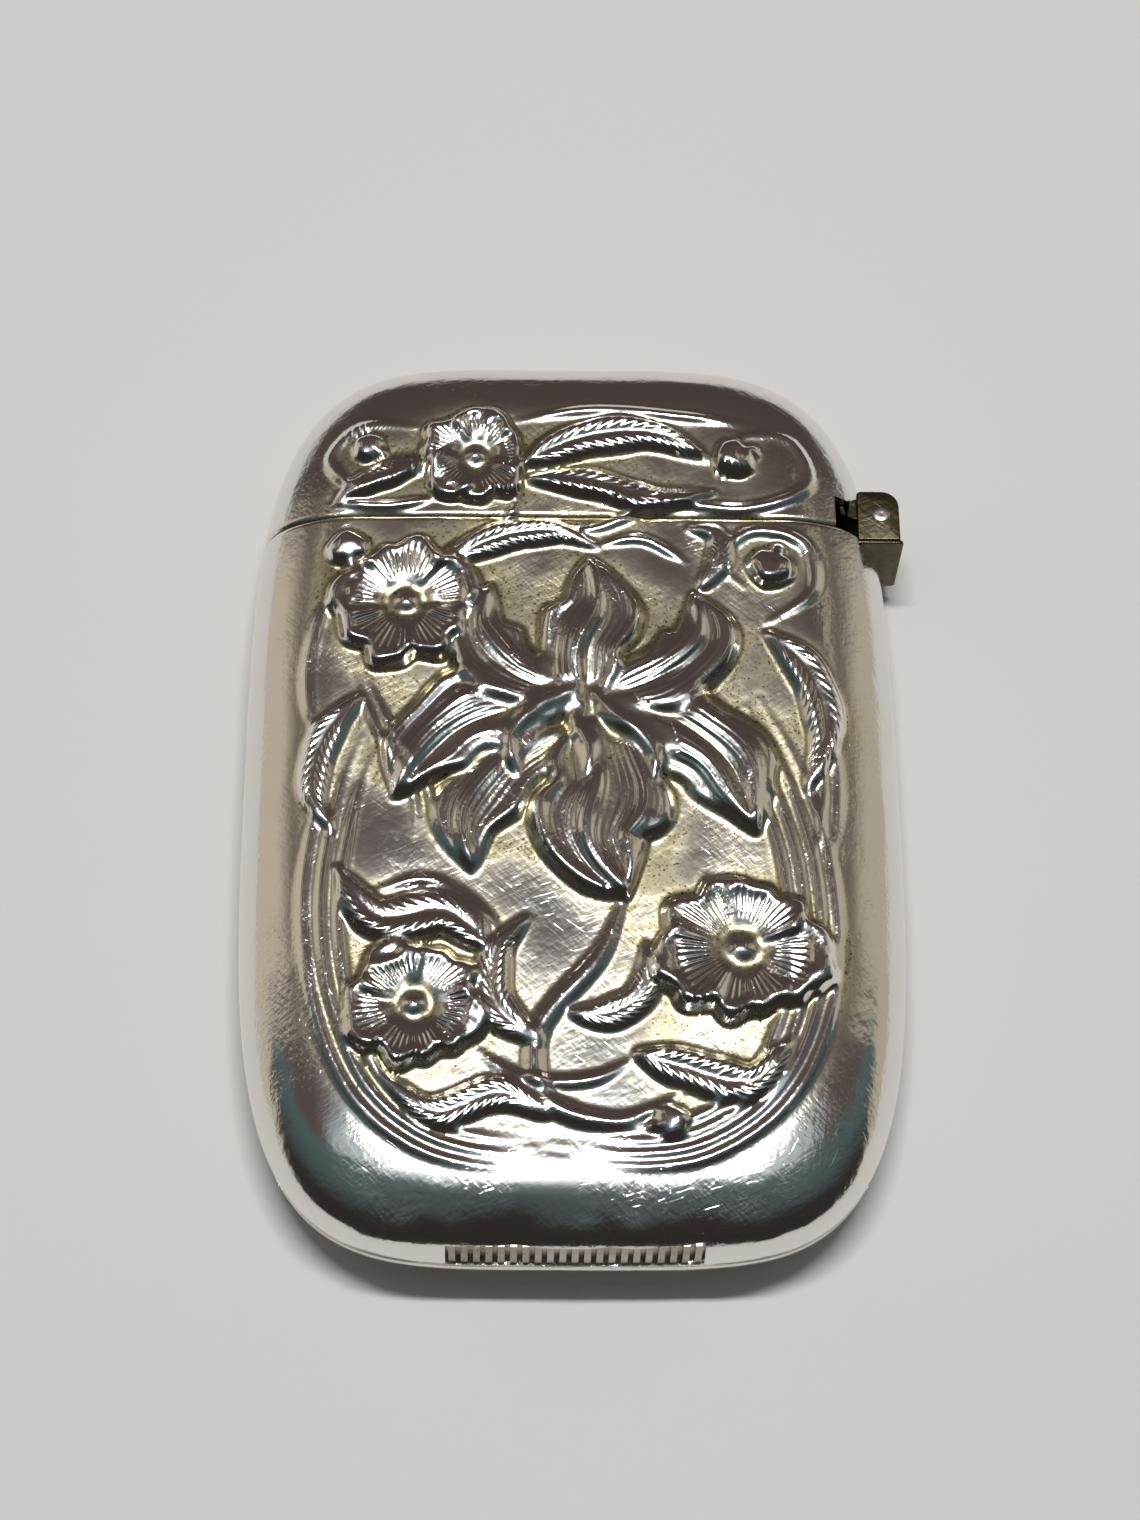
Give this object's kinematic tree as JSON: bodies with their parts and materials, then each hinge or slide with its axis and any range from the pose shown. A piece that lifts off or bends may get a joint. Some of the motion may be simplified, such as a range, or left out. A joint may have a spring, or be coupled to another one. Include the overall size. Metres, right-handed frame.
{
  "type": "match safe",
  "caption": "Pocket match safe: flat pillow-shaped case of struck silver halves, side-hinged sprung lid, collar in the mouth and ribbed striker in the end.",
  "frame": {"origin": "centre of the flat back that the case lies on", "axes": "+X to the hinge side, +Y to the lid's end, +Z out of the decorated front"},
  "size_m": [0.0432, 0.064, 0.0098],
  "materials": {
    "struck_silver": "polished high points, yellow-grey tarnish in the hollows",
    "plain_silver": "polished, finely scratched",
    "striker": "dull, darkened between the ribs",
    "hinge_metal": "satin, tarnished olive grey",
    "pin_metal": "riveted and polished",
    "spring_steel": "blued grey"
  },
  "bodies": {
    "body": {"body_front": "struck_silver", "body_back": "plain_silver", "mouth_collar": "plain_silver", "striker_strip": "striker", "hinge_bracket": "hinge_metal", "hinge_pin": "pin_metal", "hinge_spring": "spring_steel"},
    "lid": {"lid_front": "struck_silver", "lid_back": "plain_silver", "hinge_lug": "hinge_metal"}
  },
  "joints": [
    {"name": "lid_hinge", "type": "hinge", "parent": "body", "child": "lid", "pos_m": [0.02067, 0.0194, 0.0044], "axis": [0, 0, -1], "range_deg": [0, 115], "deforming": ["hinge_spring"]}
  ]
}
